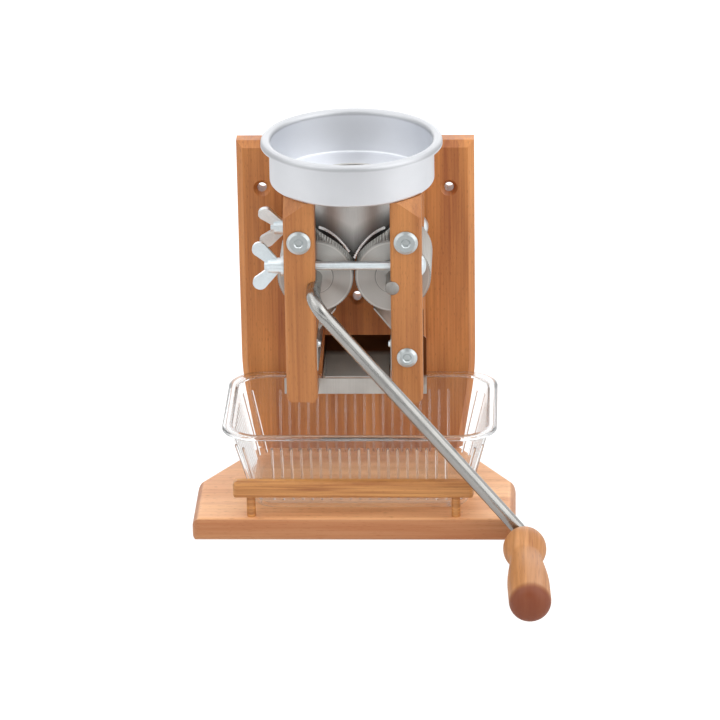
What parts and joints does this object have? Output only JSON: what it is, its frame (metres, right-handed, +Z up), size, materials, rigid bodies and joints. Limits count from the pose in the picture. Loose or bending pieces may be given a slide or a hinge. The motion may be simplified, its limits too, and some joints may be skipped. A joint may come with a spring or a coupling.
{
  "type": "hand-cranked grain flaker",
  "caption": "Hand-cranked grain flaker: wooden stand, grooved steel rollers between bolted posts, feed pan on a tube, bent-rod crank with turned grip, clear catch tray.",
  "frame": {"origin": "middle of the base plate's underside", "axes": "+X to the user's right, +Y from the user towards the back board, +Z up"},
  "size_m": [0.2574, 0.2601, 0.2947],
  "materials": {
    "oiled_beech": "oiled, fine flecked grain",
    "pale_beech": "oiled, rounded edges",
    "post_beech": "oiled, upright grain",
    "turned_beech": "turned and oiled",
    "satin_aluminium": "satin",
    "roller_steel": "machined, grooved",
    "stainless_rod": "drawn bright",
    "sheet_steel": "satin sheet",
    "bright_zinc": "zinc plated",
    "clear_plastic": "clear, moulded"
  },
  "bodies": {
    "frame": {"base_plate": "pale_beech", "back_board": "oiled_beech", "base_screws": "bright_zinc", "rail": "oiled_beech", "rail_dowels": "oiled_beech", "post_right_front": "post_beech", "post_right_rear": "post_beech", "frame_bolts": "bright_zinc", "bolt_spacers": "bright_zinc", "board_spacers": "bright_zinc", "sleeve_nuts": "bright_zinc", "tie_bolts": "bright_zinc", "scraper_right": "sheet_steel", "scraper_screws_right": "bright_zinc", "chute": "sheet_steel"},
    "left_cheek": {"post_left_front": "post_beech", "post_left_rear": "post_beech", "scraper_left": "sheet_steel", "scraper_screws_left": "bright_zinc"},
    "drive_roller": {"roller_left": "roller_steel", "crank_rod": "stainless_rod", "grip_ring": "bright_zinc"},
    "driven_roller": {"roller_right": "roller_steel", "axle_right": "stainless_rod"},
    "handle": {"grip": "turned_beech"},
    "hopper": {"hopper_pan": "satin_aluminium", "feed_tube": "sheet_steel"},
    "catch_tray": {"tray": "clear_plastic"},
    "washer_front": {"tie_washer_front": "bright_zinc"},
    "washer_rear": {"tie_washer_rear": "bright_zinc"},
    "nut_front": {"wing_nut_front": "bright_zinc"},
    "nut_rear": {"wing_nut_rear": "bright_zinc"}
  },
  "joints": [
    {"name": "cheek_swing", "type": "hinge", "parent": "frame", "child": "left_cheek", "pos_m": [-0.036, 0, 0.2214], "axis": [0, 1, 0], "range_deg": [-1.5, 2]},
    {"name": "crank_turn", "type": "hinge", "parent": "left_cheek", "child": "drive_roller", "pos_m": [-0.0259, 0, 0.187], "axis": [0, 1, 0], "continuous": true},
    {"name": "driven_turn", "type": "hinge", "parent": "frame", "child": "driven_roller", "pos_m": [0.0293, 0, 0.187], "axis": [0, 1, 0], "continuous": true},
    {"name": "grip_spin", "type": "hinge", "parent": "drive_roller", "child": "handle", "pos_m": [0.12165, -0.079, 0.00927], "axis": [0.0479, -0.9972, -0.0577], "continuous": true},
    {"name": "hopper_lift", "type": "slide", "parent": "frame", "child": "hopper", "axis": [0, 0, 1], "range_m": [0, 0.08]},
    {"name": "tray_slide", "type": "slide", "parent": "frame", "child": "catch_tray", "axis": [-1, 0, 0], "range_m": [0, 0.2]},
    {"name": "washer_front_slide", "type": "slide", "parent": "frame", "child": "washer_front", "axis": [-1, 0, 0], "range_m": [-0.0007, 0.0009]},
    {"name": "washer_rear_slide", "type": "slide", "parent": "frame", "child": "washer_rear", "axis": [-1, 0, 0], "range_m": [-0.0007, 0.0009]},
    {"name": "nut_front_turn", "type": "hinge", "parent": "washer_front", "child": "nut_front", "pos_m": [-0.0492, -0.04, 0.2], "axis": [-1, 0, 0], "range_deg": [-210, 280]},
    {"name": "nut_rear_turn", "type": "hinge", "parent": "washer_rear", "child": "nut_rear", "pos_m": [-0.0492, 0.038, 0.2], "axis": [-1, 0, 0], "range_deg": [-210, 280]}
  ],
  "couplings": [
    {"joint": "driven_turn", "follows": "crank_turn", "ratio": -1},
    {"joint": "washer_front_slide", "follows": "cheek_swing", "m_per_rad": 0.0214},
    {"joint": "washer_rear_slide", "follows": "cheek_swing", "m_per_rad": 0.0214},
    {"joint": "nut_front_turn", "follows": "cheek_swing", "ratio": 134.46},
    {"joint": "nut_rear_turn", "follows": "cheek_swing", "ratio": 134.46}
  ]
}
